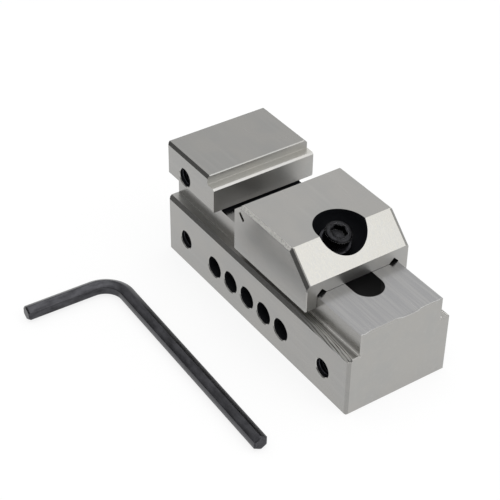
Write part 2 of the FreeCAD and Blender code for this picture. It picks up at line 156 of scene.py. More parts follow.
class Graph:
    """One node tree, with short ways to add and join its nodes."""

    def __init__(self, tree: bpy.types.NodeTree) -> None:
        """Start from an empty tree.

        Args:
            tree: The tree to fill. What is in it is removed.
        """
        self.tree = tree
        tree.nodes.clear()

    def node(self, kind: str, settings: Settings = None, inputs: Inputs = None) -> bpy.types.Node:
        """Add a node.

        Args:
            kind: The node's type name.
            settings: Its own settings, which are set first.
            inputs: Values, sockets or Values for its sockets, by name or number.

        Returns:
            The new node.
        """
        made = self.tree.nodes.new(kind)
        for name, value in (settings or {}).items():
            setattr(made, name, value)
        for name, value in (inputs or {}).items():
            self.feed(made.inputs[name], value)
        return made

    def feed(self, socket: bpy.types.NodeSocket, value: object) -> None:
        """Set a socket to a value, or link it to another socket.

        Args:
            socket: The input to feed.
            value: A number, a vector, a colour, a socket or a Value.
        """
        source = value.socket if isinstance(value, Value) else value
        if isinstance(source, bpy.types.NodeSocket):
            self.tree.links.new(source, socket)
        else:
            socket.default_value = source

    def value(
        self, kind: str, output: str | int, settings: Settings = None, inputs: Inputs = None
    ) -> Value:
        """Add a node and keep one of its outputs as a Value."""
        return Value(self, self.node(kind, settings, inputs).outputs[output])

    def math(self, operation: str, *terms: "Value | float") -> Value:
        """Add a Math node and keep its result as a Value."""
        inputs = dict(enumerate(terms))
        return self.value("ShaderNodeMath", 0, {"operation": operation}, inputs)

    def vector(self, operation: str, output: str, *terms: object) -> Value:
        """Add a Vector Math node and keep one of its outputs as a Value."""
        inputs = dict(enumerate(terms))
        return self.value("ShaderNodeVectorMath", output, {"operation": operation}, inputs)

    def smooth(self, value: Value, low: float, high: float, out: Span = (0, 1)) -> Value:
        """Turn a range of a value smoothly into another range.

        Args:
            value: The value to map.
            low: Where the change starts.
            high: Where it ends.
            out: The results at the start and at the end.

        Returns:
            The mapped value.
        """
        inputs = {"Value": value, "From Min": low, "From Max": high}
        inputs |= {"To Min": out[0], "To Max": out[1]}
        return self.value("ShaderNodeMapRange", 0, {"interpolation_type": "SMOOTHSTEP"}, inputs)

    def mix(self, factor: "Value | float", first: object, second: object) -> bpy.types.NodeSocket:
        """Mix two colours.

        Args:
            factor: Share of the second colour.
            first: A colour or a socket.
            second: A colour or a socket.

        Returns:
            The socket of the mixed colour.
        """
        made = self.node("ShaderNodeMix", {"data_type": "RGBA"}, {0: factor})
        for number, colour in ((6, first), (7, second)):
            self.feed(made.inputs[number], (*colour, 1) if isinstance(colour, tuple) else colour)
        return made.outputs[2]

    def noise(self, coordinates: object, cell: Point, detail: float, roughness: float) -> Value:
        """Add noise with cells of a given size.

        Args:
            coordinates: The place that the noise reads, in metres.
            cell: Size of one cell along X, Y and Z, in millimetres.
            detail: How many finer layers are added.
            roughness: How strong the finer layers are.

        Returns:
            The noise, from 0 to 1, about 0.5 on average.
        """
        scale = tuple(1 / (size * MM) for size in cell)
        placed = self.node("ShaderNodeMapping", None, {"Vector": coordinates, "Scale": scale})
        inputs = {"Vector": placed.outputs[0], "Scale": 1, "Detail": detail, "Roughness": roughness}
        return self.value("ShaderNodeTexNoise", 0, None, inputs)

    def split(self, vector: object) -> list[Value]:
        """X, Y and Z of a vector."""
        parts = self.node("ShaderNodeSeparateXYZ", None, {0: vector})
        return [Value(self, parts.outputs[number]) for number in range(3)]

    def bent(self, share: Value, normal: object, toward: object) -> bpy.types.NodeSocket:
        """A normal that is bent toward another by a share."""
        inputs = {0: share, 4: normal, 5: toward}
        return self.node("ShaderNodeMix", {"data_type": "VECTOR"}, inputs).outputs[1]

    def edges(
        self, radius: float, normal: object, bend: Span
    ) -> tuple[bpy.types.NodeSocket, Value]:
        """Round the edges in the normal, and mark them.

        Args:
            radius: Radius of the rounding, in millimetres.
            normal: The mesh's own normal.
            bend: How far the normal is off where an edge starts, and where it is full.

        Returns:
            The rounded normal, and the mask of the edges.
        """
        bevel = self.node("ShaderNodeBevel", {"samples": BEVEL_SAMPLES}, {"Radius": radius * MM})
        along = self.vector("DOT_PRODUCT", "Value", bevel.outputs[0], normal)
        return bevel.outputs[0], self.smooth(1 - along, *bend)

    def metal(
        self,
        tint: object,
        roughness: Value,
        height: Value,
        depth: float,
        normal: object = None,
        metallic: Value | float = 1.0,
    ) -> None:
        """End a material's tree with a metal surface.

        Args:
            tint: Its colour.
            roughness: Its roughness.
            height: Height of its grain.
            depth: How deep one step of that height is, in millimetres.
            normal: The normal that the grain lies on, where it isn't the mesh's own.
            metallic: How metallic it is.
        """
        relief = {"Strength": 1.0, "Distance": depth * MM, "Height": height}
        if normal is not None:
            relief["Normal"] = normal
        bump = self.node("ShaderNodeBump", None, relief).outputs[0]
        surface = {"Base Color": tint, "Metallic": metallic, "Roughness": roughness, "Normal": bump}
        shader = self.node("ShaderNodeBsdfPrincipled", None, surface)
        self.node("ShaderNodeOutputMaterial", None, {"Surface": shader.outputs[0]})


def new_material(name: str) -> tuple[bpy.types.Material, Graph]:
    """Add a material and open its tree.

    Args:
        name: The material's name.

    Returns:
        The material, and its tree with nothing in it.
    """
    material = bpy.data.materials.new(name)
    material.use_nodes = True
    return material, Graph(material.node_tree)


def union(masks: list[Value]) -> Value:
    """Join masks.

    Args:
        masks: The masks.

    Returns:
        The largest of them at each place.
    """
    whole = masks[0]
    for mask in masks[1:]:
        whole = whole.either(mask)
    return whole


@dataclass(frozen=True)
class Bore:
    """Round space that marks the wall inside it."""

    centre: Point
    axis: Point
    radius: float
    low: float
    high: float

    def mask(self, graph: Graph, place: object) -> Value:
        """Mark the surface inside the bore.

        Args:
            graph: The tree to add to.
            place: Socket with the position in millimetres.

        Returns:
            1 inside and 0 outside.
        """
        offset = graph.vector("SUBTRACT", "Vector", place, self.centre)
        along = graph.vector("DOT_PRODUCT", "Value", offset.socket, self.axis)
        square = graph.vector("DOT_PRODUCT", "Value", offset.socket, offset.socket)
        inside = (square - along * along) < self.radius**2
        return inside * (along > self.low) * (along < self.high)


@dataclass(frozen=True)
class BoreRow:
    """Row of equal bores across the vise, one pitch apart along X."""

    first: float
    pitch: float
    count: int
    height: float
    radius: float
    half_length: float

    def mask(self, graph: Graph, place: object) -> Value:
        """Mark the surface inside the bores.

        Args:
            graph: The tree to add to.
            place: Socket with the position in millimetres.

        Returns:
            1 inside and 0 outside.
        """
        x, y, z = graph.split(place)
        turn = (x - self.first) / self.pitch + 0.5
        across = (graph.math("FRACT", turn) - 0.5) * self.pitch
        upward = z - self.height
        inside = (across * across + upward * upward) < self.radius**2
        return inside * (turn > 0) * (turn < self.count) * (abs(y) < self.half_length)


@dataclass(frozen=True)
class Cavity:
    """Block-shaped space that marks the faces inside it."""

    low: Point
    high: Point

    def mask(self, graph: Graph, place: object) -> Value:
        """Mark the surface inside the block.

        Args:
            graph: The tree to add to.
            place: Socket with the position in millimetres.

        Returns:
            1 inside and 0 outside.
        """
        x, y, z = (
            (value > low) * (value < high)
            for value, low, high in zip(graph.split(place), self.low, self.high)
        )
        return x * y * z

    def mirrored(self) -> "Cavity":
        """The same space on the other side of the vise."""
        (x_low, y_low, z_low), (x_high, y_high, z_high) = self.low, self.high
        return Cavity((x_low, -y_high, z_low), (x_high, -y_low, z_high))


@dataclass(frozen=True)
class Chamfer:
    """Slanted faces in a space, which get painted shade, darker than the faces beside them.

    Attributes:
        place: The space.
        share: How much painted shade is on the chamfer.
        shade_fade_from: X from which the painted shade fades.
        shade_fade_over: Length over which the painted shade fades.
        shade_fade_to: Part of the painted shade's share that is left at the end.
    """

    place: Cavity
    share: float
    shade_fade_from: float = 99.0
    shade_fade_over: float = 12.0
    shade_fade_to: float = 0.15

    def mask(self, graph: Graph, place: object, slanted: Value) -> Value:
        """Mark the chamfer.

        Args:
            graph: The tree to add to.
            place: Socket with the position in millimetres.
            slanted: 1 where the face lies along no axis.

        Returns:
            The share of painted shade on the chamfer, and 0 elsewhere.
        """
        x = graph.split(place)[0]
        shares = (self.share, self.share * self.shade_fade_to)
        kept = graph.smooth(x, self.shade_fade_from, self.shade_fade_from + self.shade_fade_over, shares)
        return self.place.mask(graph, place) * slanted * kept

    def pair(self) -> tuple["Chamfer", "Chamfer"]:
        """The chamfer and the one on the other side of the vise."""
        return self, replace(self, place=self.place.mirrored())


@dataclass(frozen=True)
class RubbedEdge:
    """Top edge of an upright end face, rounded by hand.

    Attributes:
        face: X of the end face.
        top: Z of the flat face above it.
        width: How much the wave along the edge adds to the rounded strip.
        least: Width of the strip without the wave, as a part of that.
        lean: Normal of the rounded strip.
    """

    face: float
    top: float
    width: float
    least: float = 0.25
    lean: Point = (0.94, 0.0, 0.34)


@dataclass(frozen=True)
class MilledLedge:
    """Curved marks of a cutter on the ledges beside the rail.

    Attributes:
        top: Z of the ledges.
        inner: How far from the middle of the vise they start.
        centre_x: X of the centre of the marks.
        centre_y: How far from the middle of the vise that centre lies.
        spacing: Distance from one mark to the next.
        depth: How far below the top the marked faces reach.
        end: X at which the marks end.
    """

    top: float
    inner: float
    centre_x: float
    centre_y: float
    spacing: float
    depth: float = 0.76
    end: float = 31.75


class SteelLook:
    """A steel surface while its layers are laid: its tint, roughness, height and normal."""

    def __init__(self, graph: Graph, edge_radius: float) -> None:
        """Find where the surface lies and which way it faces.

        Args:
            graph: The material's tree.
            edge_radius: How round the edges look, in millimetres.
        """
        self.graph = graph
        self.place = graph.node("ShaderNodeTexCoord").outputs["Object"]
        self.millimetres = graph.vector("SCALE", "Vector", self.place).socket
        self.millimetres.node.inputs["Scale"].default_value = 1 / MM
        own = graph.node("ShaderNodeNewGeometry").outputs["Normal"]
        self.facing = [abs(part) for part in graph.split(own)]
        self.endwise = self.facing[0] > FACES
        self.sidewise = self.facing[1] > FACES
        self.level = self.facing[2] > LEVEL
        self.slanted = union(self.facing) < LEVEL
        self.speck = graph.noise(self.place, (0.35, 0.35, 0.35), 2, 0.7)
        self.normal, self.edge = graph.edges(edge_radius, own, (0.01, 0.16))
        self.tint: object = BLACK
        self.roughness: Value | float = 0.0
        self.height: Value | float = 0.0

    def lay(self, share: Value, colour: Colour) -> None:
        """Lay a colour over the tint."""
        self.tint = self.graph.mix(share, self.tint, colour)

    def cover(self, mask: Value, roughness: float) -> None:
        """Give what a mask covers its own roughness."""
        self.roughness = self.roughness * (1 - mask) + mask * roughness

    def inside(self, zone: Bore | BoreRow | Cavity) -> Value:
        """Mask of what lies in a zone."""
        return zone.mask(self.graph, self.millimetres)


@dataclass(frozen=True)
class GroundSteel:
    """Surface ground tool steel.

    Attributes:
        name: The material's name.
        zones: Spaces whose walls are dark.
        chamfers: Chamfers that get painted shade, darker than the faces beside them.
        deep: Space that is black to its floor.
        painted_shade_space: Space whose faces get painted shade, but not the vise's sides.
        painted_highlight_space: Space whose level face gets a painted highlight.
        scuffed: Space whose chamfer is scuffed.
        rubbed: Edge that was rounded by hand.
        ledge: Marks of the cutter on the ledges.
        slope_marked: Whether the sloping nose is blotched.
    """

    name: str
    zones: tuple[Bore | BoreRow | Cavity, ...]
    chamfers: tuple[Chamfer, ...]
    deep: Cavity | None = None
    painted_shade_space: Cavity | None = None
    painted_highlight_space: Cavity | None = None
    scuffed: Cavity | None = None
    rubbed: RubbedEdge | None = None
    ledge: MilledLedge | None = None
    slope_marked: bool = False
    colour: Colour = (0.415, 0.41, 0.395)
    hollow_wall_colour: Colour = (0.012, 0.013, 0.016)
    deep_colour: Colour = (0.003, 0.003, 0.0035)
    chamfer_shade_colour: Colour = (0.07, 0.069, 0.066)
    scuff_colour: Colour = (0.7, 0.69, 0.66)
    mark_colour: Colour = (0.03, 0.03, 0.029)
    painted_highlight_colour: Colour = (0.74, 0.73, 0.69)
    foot_highlight_colour: Colour = (0.95, 0.94, 0.92)
    rail_top_shade_colour: Colour = (0.385, 0.387, 0.395)
    slope_colour: Colour = (0.46, 0.45, 0.415)
    roughness: float = 0.25
    end_roughness: float = 0.2
    zone_roughness: float = 0.5
    scuff_roughness: float = 0.6
    side_shade: float = 0.17
    painted_shade_share: float = 0.16
    painted_highlight_share: float = 0.85
    streak_length: float = 9.0
    streak_width: float = 0.16
    grain_depth: float = 0.0011
    edge_radius: float = 0.045
    mark_height: float = 16.0
    scuff_height: float = 60.0

    def build(self) -> bpy.types.Material:
        """Make the material.

        Returns:
            The finished material.
        """
        material, graph = new_material(self.name)
        look = SteelLook(graph, self.edge_radius)
        self._grind(look)
        if self.rubbed is not None:
            self._rub(look, self.rubbed)
        if self.ledge is not None:
            self._mill(look, self.ledge)
        # Painted shade on the faces in this space, the fixed jaw's top and riser.
        if self.painted_shade_space is not None:
            look.lay(look.inside(self.painted_shade_space) * (1 - look.sidewise) * self.painted_shade_share, BLACK)
        # Painted highlight on the level face in this space, the ledge of the fixed jaw's step.
        if self.painted_highlight_space is not None:
            look.lay(look.inside(self.painted_highlight_space) * look.level * self.painted_highlight_share, self.painted_highlight_colour)
        if self.slope_marked:
            self._mark_slope(look)
        self._darken_chamfers(look)
        if self.scuffed is not None:
            self._scuff(look, self.scuffed)
        metallic = self._blacken(look)
        graph.metal(look.tint, look.roughness, look.height, self.grain_depth, look.normal, metallic)
        return material

    def _shade(self, gain: float, warmth: float = 0.0) -> Colour:
        """The steel's colour, made lighter and warmer."""
        red, green, blue = self.colour
        return (red * gain + warmth, green * gain, blue * gain - warmth)

    def _grind(self, look: SteelLook) -> None:
        """Lay the grinding streaks, the clouding, the worn edges and the painted shade of the
        sides.

        Args:
            look: The surface.
        """
        graph, place = look.graph, look.place
        long, fine = self.streak_length, self.streak_width
        lengthwise = graph.noise(place, (long, fine, fine), 3, 0.6)
        crosswise = graph.noise(place, (fine, long, fine), 3, 0.6)
        streak = lengthwise * (1 - look.endwise) + crosswise * look.endwise
        band = graph.noise(place, (30.0, 1.1, 1.1), 2, 0.5)
        cloud = graph.noise(place, (9.0, 6.0, 6.0), 2, 0.5)
        worn = look.edge * graph.smooth(look.speck, 0.35, 0.6)
        look.height = (streak - 0.5) * 0.5 + (look.speck - 0.5) * 0.2
        uneven = self.roughness + (streak - 0.5) * 0.08 + (cloud - 0.5) * 0.06
        look.roughness = uneven + worn * 0.12 + look.endwise * self.end_roughness
        clouding = graph.smooth(cloud, 0.35, 0.65)
        look.tint = graph.mix(clouding, self._shade(0.98, -0.003), self._shade(1.02, 0.003))
        look.lay(graph.smooth(streak, 0.3, 0.7, (0, 0.35)), self._shade(1.07))
        look.lay(graph.smooth(band, 0.5, 0.75, (0, 0.5)), self._shade(1.08))
        look.lay(worn * 0.25, self._shade(1.3))
        # Painted shade: the sides are darkened in the colour, not by the light.
        look.lay(look.sidewise * self.side_shade, BLACK)

    def _rub(self, look: SteelLook, rubbed: RubbedEdge) -> None:
        """Bend the normal along a rubbed edge, streak the flat face behind it, and lay painted
        shade on that face.

        Args:
            look: The surface.
            rubbed: The edge.
        """
        graph, upward = look.graph, look.facing[2]
        x, _, z = graph.split(look.millimetres)
        wave = graph.smooth(graph.noise(look.place, (40.0, 5.5, 40.0), 1, 0.4), 0.42, 0.62)
        on_top = (abs(z - rubbed.top) < 0.3) * (upward > 0.5)
        reach = x - (rubbed.face - rubbed.width * (rubbed.least + wave))
        near = graph.smooth(reach, -0.05, 0.2) * on_top
        flat = on_top * (1 - near)
        level = graph.bent(on_top * (upward < 0.9) * (1 - near) * 0.9, look.normal, (0.0, 0.0, 1.0))
        leaning = graph.bent(near * 0.85, level, rubbed.lean)
        look.normal = graph.vector("NORMALIZE", "Vector", leaning).socket
        line = graph.noise(look.place, (16.0, 0.5, 0.5), 3, 0.6)
        # Painted shade, darker and cooler, on the rail's flat top.
        look.lay(flat * 0.8, self.rail_top_shade_colour)
        look.lay(flat * graph.smooth(line, 0.42, 0.66, (0, 0.3)), self._shade(1.3))

    def _mill(self, look: SteelLook, ledge: MilledLedge) -> None:
        """Lay the curved marks on the ledges, a painted highlight on their front part, and a
        painted highlight strip at the rail's foot.

        Args:
            look: The surface.
            ledge: The marks.
        """
        graph = look.graph
        x, y, z = graph.split(look.millimetres)
        off_middle = abs(y)
        along = x - ledge.centre_x
        across = ledge.centre_y - off_middle
        reach = graph.math("SQRT", along * along + across * across)
        wander = graph.noise(look.place, (3.0, 1.5, 1.0), 2, 0.5)
        ridge = graph.math("SINE", (reach + wander * 0.22) * (math.tau / ledge.spacing))
        fade = graph.smooth(graph.noise(look.place, (5.0, 0.7, 1.0), 1, 0.5), 0.4, 0.6)
        marks = ridge * (0.55 + 0.45 * fade)
        forward = graph.smooth(x, 12.0, 22.0)
        bare = graph.smooth(x, 14.0, 32.0, (0.0, 0.9))
        outer = graph.smooth(off_middle - ledge.inner - bare, 0.2, 0.6)
        near_top = (z > ledge.top - ledge.depth) * (z < ledge.top + 0.06) * (x < ledge.end)
        on_ledge = near_top * outer * (1 - look.endwise)
        strip = (off_middle > ledge.inner - 0.1) * (off_middle < ledge.inner + 0.4)
        foot = near_top * strip * forward * (1 - look.endwise)
        relief = marks * on_ledge * (0.2 + forward * 0.8) * self.mark_height * look.level
        look.height = look.height + relief
        look.roughness = look.roughness + on_ledge * 0.12
        # Painted highlight on the front part of the ledges, and a painted highlight strip at the
        # rail's foot.
        look.lay(on_ledge * forward * 0.8, self.painted_highlight_colour)
        look.lay(foot * 0.9, self.foot_highlight_colour)
        line = graph.smooth(marks, 0.3, 0.7) * on_ledge
        look.lay(line * (0.1 + forward * 0.85), self.mark_colour)

    def _mark_slope(self, look: SteelLook) -> None:
        """Lay the lighter, warmer blotches of the sloping nose.

        Args:
            look: The surface.
        """
        graph = look.graph
        blotch = graph.noise(look.place, (1.3, 0.35, 0.6), 4, 0.7)
        slope = look.slanted * (look.facing[1] < 0.1)
        look.lay(slope * graph.smooth(blotch, 0.3, 0.7), self.slope_colour)
        look.roughness = look.roughness + slope * (blotch - 0.5) * 0.15

    def _darken_chamfers(self, look: SteelLook) -> None:
        """Lay painted shade on the chamfers.

        Args:
            look: The surface.
        """
        graph, place = look.graph, look.millimetres
        dark = union([chamfer.mask(graph, place, look.slanted) for chamfer in self.chamfers])
        look.lay(dark * graph.smooth(look.speck, 0.2, 0.6, (1.0, 0.8)), self.chamfer_shade_colour)
        look.roughness = look.roughness + dark * 0.12

    def _scuff(self, look: SteelLook, space: Cavity) -> None:
        """Scuff the chamfer in a space.

        Args:
            look: The surface.
            space: The space.
        """
        graph = look.graph
        rub = graph.noise(look.place, (0.35, 0.2, 0.2), 3, 0.7)
        scuff = look.inside(space) * look.slanted
        look.height = look.height + (rub - 0.5) * scuff * self.scuff_height
        look.lay(scuff * graph.smooth(rub, 0.36, 0.52), self.scuff_colour)
        look.cover(scuff, self.scuff_roughness)

    def _blacken(self, look: SteelLook) -> Value:
        """Lay the dark walls of the zones, and the black of the deep space.

        Args:
            look: The surface.

        Returns:
            How metallic the surface is.
        """
        dark = union([look.inside(zone) for zone in self.zones])
        # The walls of the zones are coloured near black, and the deep space blacker still.
        look.lay(dark, self.hollow_wall_colour)
        look.cover(dark, self.zone_roughness)
        if self.deep is not None:
            pit = look.inside(self.deep)
            look.lay(pit, self.deep_colour)
            dark = dark * (1 - pit)
        return 1 - dark * 0.6


@dataclass(frozen=True)
class BlackOxide:
    """Black oxide finish on steel, rubbed lighter along its edges."""

    name: str
    colour: Colour = (0.07, 0.07, 0.076)
    rubbed: Colour = (0.2, 0.2, 0.205)
    roughness: float = 0.34
    grain: Point = (5.0, 0.3, 0.3)
    follows_surface: bool = False
    edge_radius: float = 0.12
    grain_depth: float = 0.004
    wear: float = 0.6

    def build(self) -> bpy.types.Material:
        """Make the material.

        Returns:
            The finished material.
        """
        material, graph = new_material(self.name)
        coordinates = graph.node("ShaderNodeTexCoord")
        place = coordinates.outputs["UV" if self.follows_surface else "Object"]
        solid = coordinates.outputs["Object"]
        normal = graph.node("ShaderNodeNewGeometry").outputs["Normal"]
        streak = graph.noise(place, self.grain, 3, 0.6)
        mottle = graph.noise(solid, (1.6, 1.6, 1.6), 3, 0.6)
        speck = graph.noise(solid, (0.3, 0.3, 0.3), 2, 0.6)
        soft, edge = graph.edges(self.edge_radius, normal, (0.005, 0.12))
        rub = edge * graph.smooth(speck + (mottle - 0.5) * 0.6, 0.3, 0.65) * self.wear
        darker = tuple(part * 0.62 for part in self.colour)
        lighter = tuple(part * 1.45 for part in self.colour)
        tint = graph.mix(graph.smooth(mottle * 0.3 + streak * 0.7, 0.3, 0.7), darker, lighter)
        tint = graph.mix(rub, tint, self.rubbed)
        roughness = self.roughness + (streak - 0.5) * 0.25 + (mottle - 0.5) * 0.2
        height = (streak - 0.5) * 1.0 + (speck - 0.5) * 0.8
        graph.metal(tint, roughness, height, self.grain_depth, soft)
        return material


@dataclass(frozen=True)
class DrawnSteel:
    """Bright turned or drawn steel, for the bar and the spring."""

    name: str
    colour: Colour = (0.42, 0.41, 0.4)
    roughness: float = 0.3
    grain: Point = (0.2, 0.2, 0.2)
    grain_depth: float = 0.003

    def build(self) -> bpy.types.Material:
        """Make the material.

        Returns:
            The finished material.
        """
        material, graph = new_material(self.name)
        place = graph.node("ShaderNodeTexCoord").outputs["Object"]
        grain = graph.noise(place, self.grain, 3, 0.6)
        oil = graph.noise(place, (1.4, 1.4, 1.4), 2, 0.6)
        darker = tuple(part * 0.6 for part in self.colour)
        tint = graph.mix(graph.smooth(oil, 0.35, 0.65), darker, self.colour)
        roughness = self.roughness + (grain - 0.5) * 0.2 + (oil - 0.5) * 0.2
        graph.metal(tint, roughness, grain, self.grain_depth)
        return material


class Crest(Enum):
    """Which way a thread's crest points, as the turn of its profile in radians."""

    OUTWARD = 0.0
    INWARD = math.pi


def stand(name: str, data: bpy.types.ID) -> bpy.types.Object:
    """Add an object to the scene.

    Args:
        name: The object's name.
        data: Its mesh, lamp or camera.

    Returns:
        The new object.
    """
    made = bpy.data.objects.new(name, data)
    bpy.context.scene.collection.objects.link(made)
    return made


def mesh_object(name: str, loops: list[list[Vector]]) -> bpy.types.Object:
    """Skin a row of closed loops that have the same number of points, and close its ends.

    Args:
        name: The new object's name.
        loops: Loops in order, in metres.

    Returns:
        The new object, with its normals outward.
    """
    mesh = bmesh.new()
    rings = [[mesh.verts.new(point) for point in loop] for loop in loops]
    count = len(rings[0])
    for lower, upper in zip(rings, rings[1:]):
        for number in range(count):
            after = (number + 1) % count
            mesh.faces.new((lower[number], lower[after], upper[after], upper[number]))
    mesh.faces.new(rings[0])
    mesh.faces.new(rings[-1])
    bmesh.ops.recalc_face_normals(mesh, faces=mesh.faces)
    data = bpy.data.meshes.new(name)
    mesh.to_mesh(data)
    mesh.free()
    return stand(name, data)


def smooth_by_angle(piece: bpy.types.Object, degrees: float) -> None:
    """Shade a piece smooth, but keep sharp the edges where its faces meet steeply.

    Args:
        piece: The piece.
        degrees: Angle between two faces past which their edge stays sharp.
    """
    mesh = bmesh.new()
    mesh.from_mesh(piece.data)
    limit = math.radians(degrees)
    for edge in mesh.edges:
        sharp = len(edge.link_faces) != 2 or edge.calc_face_angle(0.0) > limit
        edge.smooth = not sharp
    for face in mesh.faces:
        face.smooth = True
    mesh.to_mesh(piece.data)
    mesh.free()


def paint(piece: bpy.types.Object, material: bpy.types.Material) -> None:
    """Give a piece one material on all its faces.

    Args:
        piece: The piece.
        material: The material.
    """
    if piece.data.materials:
        for number in range(len(piece.data.materials)):
            piece.data.materials[number] = material
    else:
        piece.data.materials.append(material)


class GeometryTree(Graph):
    """A Geometry Nodes tree with named inputs, turned into plain meshes."""

    def __init__(self, name: str, sizes: dict[str, tuple[str, float]]) -> None:
        """Start a tree.

        Args:
            name: The tree's name.
            sizes: Socket type and default of each named input.
        """
        super().__init__(bpy.data.node_groups.new(name, "GeometryNodeTree"))
        interface = self.tree.interface
        interface.new_socket("Geometry", in_out="INPUT", socket_type="NodeSocketGeometry")
        self.keys: dict[str, str] = {}
        for label, (kind, default) in sizes.items():
            socket = interface.new_socket(label, in_out="INPUT", socket_type=kind)
            socket.default_value = default
            self.keys[label] = socket.identifier
        kind = "NodeSocketMaterial"
        material = interface.new_socket("Material", in_out="INPUT", socket_type=kind)
        self.keys["Material"] = material.identifier
        interface.new_socket("Geometry", in_out="OUTPUT", socket_type="NodeSocketGeometry")
        self.source = self.node("NodeGroupInput")

    def size(self, label: str) -> Value:
        """One of the named inputs."""
        return Value(self, self.source.outputs[label])

    def along_z(self, amount: object) -> bpy.types.NodeSocket:
        """Vector along Z."""
        return self.node("ShaderNodeCombineXYZ", None, {2: amount}).outputs[0]

    def moved(self, shape: object, how: str, amount: object) -> bpy.types.NodeSocket:
        """Move or turn a shape along or round its Z.

        Args:
            shape: The shape.
            how: Translation or Rotation.
            amount: How far, in metres or radians.

        Returns:
            The shape in its new place.
        """
        inputs = {"Geometry": shape, how: self.along_z(amount)}
        return self.node("GeometryNodeTransform", None, inputs).outputs[0]

    def end(self, shape: object) -> None:
        """Set the shape at each point, aim its Z along the point's way, and end the tree.

        Args:
            shape: What the tree has made.
        """
        attribute = {"data_type": "FLOAT_VECTOR"}
        way = self.node("GeometryNodeInputNamedAttribute", attribute, {"Name": "way"})
        toward = {"Vector": way.outputs[0]}
        aim = self.node("FunctionNodeAlignRotationToVector", {"axis": "Z"}, toward)
        spread = {"Points": self.source.outputs[0], "Instance": shape, "Rotation": aim.outputs[0]}
        copies = self.node("GeometryNodeInstanceOnPoints", None, spread)
        whole = self.node("GeometryNodeRealizeInstances", None, {0: copies.outputs[0]})
        dress = {"Geometry": whole.outputs[0], "Material": self.size("Material")}
        painted = self.node("GeometryNodeSetMaterial", None, dress)
        self.node("NodeGroupOutput", None, {0: painted.outputs[0]})

    def grow(
        self, name: str, points: list[Vector], directions: list[Vector], values: dict[str, object]
    ) -> bpy.types.Object:
        """Run the tree on a few points and keep the result as a plain mesh.

        Args:
            name: The new piece's name.
            points: Where the tree puts its shapes, in metres.
            directions: Which way the shape's Z points at each of them.
            values: Values for the named inputs.

        Returns:
            The new object.
        """
        seed = bpy.data.meshes.new(name + "_seed")
        seed.from_pydata(points, [], [])
        way = seed.attributes.new("way", "FLOAT_VECTOR", "POINT")
        for number, direction in enumerate(directions):
            way.data[number].vector = direction
        holder = stand(name + "_holder", seed)
        modifier = holder.modifiers.new("grow", "NODES")
        modifier.node_group = self.tree
        for label, value in values.items():
            modifier[self.keys[label]] = value
        bpy.context.view_layer.update()
        graph = bpy.context.evaluated_depsgraph_get()
        data = bpy.data.meshes.new_from_object(holder.evaluated_get(graph))
        holder.modifiers.remove(modifier)
        bpy.data.objects.remove(holder)
        bpy.data.meshes.remove(seed)
        data.name = name
        return stand(name, data)


def thread_tree() -> GeometryTree:
    """Tree that winds a thread's ridge along the Z of each point.

    Returns:
        The finished tree.
    """
    sizes = {"Radius": 0.002, "Pitch": 0.0007, "Turns": 7.0, "Ridge": 0.0003}
    sizes |= {"Start": 0.0, "Crest": Crest.OUTWARD.value}
    inputs = {label: ("NodeSocketFloat", size) for label, size in sizes.items()}
    tree = GeometryTree("thread", inputs)
    radius, turns = tree.size("Radius"), tree.size("Turns")
    path = {"Resolution": 40, "Rotations": turns, "Start Radius": radius, "End Radius": radius}
    path["Height"] = tree.size("Pitch") * turns
    coil = tree.node("GeometryNodeCurveSpiral", None, path)
    upright = tree.node("GeometryNodeSetCurveNormal", None, {"Curve": coil.outputs[0]})
    triangle = {"Resolution": 3, "Radius": tree.size("Ridge")}
    profile = tree.node("GeometryNodeCurvePrimitiveCircle", None, triangle)
    turned = tree.moved(profile.outputs[0], "Rotation", tree.size("Crest"))
    skin = {"Curve": upright.outputs[0], "Profile Curve": turned, "Fill Caps": True}
    ridge = tree.node("GeometryNodeCurveToMesh", None, skin)
    tree.end(tree.moved(ridge.outputs[0], "Translation", tree.size("Start")))
    return tree


def knurl_tree() -> GeometryTree:
    """Tree that sets straight ridges round a head along the Z of each point.

    Returns:
        The finished tree.
    """
    sizes = {"Radius": 0.0026, "Ridge": 0.0001, "Length": 0.002, "Start": 0.0005}
    inputs = {"Count": ("NodeSocketInt", 48)}
    inputs |= {label: ("NodeSocketFloat", size) for label, size in sizes.items()}
    tree = GeometryTree("knurl", inputs)
    round_head = {"Resolution": tree.size("Count"), "Radius": tree.size("Radius")}
    circle = tree.node("GeometryNodeCurvePrimitiveCircle", None, round_head)
    lifted = tree.moved(circle.outputs[0], "Translation", tree.size("Start"))
    length = tree.size("Length")
    bar = {"Vertices": 5, "Side Segments": 1, "Radius": tree.size("Ridge"), "Depth": length}
    rod = tree.node("GeometryNodeMeshCylinder", None, bar)
    raised = tree.moved(rod.outputs[0], "Translation", length * 0.5)
    feet = tree.node("GeometryNodeCurveToPoints", {"mode": "EVALUATED"}, {"Curve": lifted})
    ring = {"Points": feet.outputs[0], "Instance": raised}
    tree.end(tree.node("GeometryNodeInstanceOnPoints", None, ring).outputs[0])
    return tree


@dataclass(frozen=True)
class ScrewLine:
    """Line of the clamping screw, which leans through the centre of its ball seat."""

    pivot: Point = (11.3, 0.0, 26.0)
    lean: float = 19.925581

    def axes(self) -> tuple[Vector, Vector, Vector]:
        """The screw's own axes.

        Returns:
            Unit vectors across the screw, across the vise and down the screw.
        """
        angle = math.radians(self.lean)
        down = Vector((-math.sin(angle), 0, -math.cos(angle)))
        side = Vector((0, 1, 0))
        return side.cross(down), side, down

    def at(self, distance: float) -> Vector:
        """Place a distance down from the ball seat's centre, in millimetres."""
        return Vector(self.pivot) + self.axes()[2] * distance


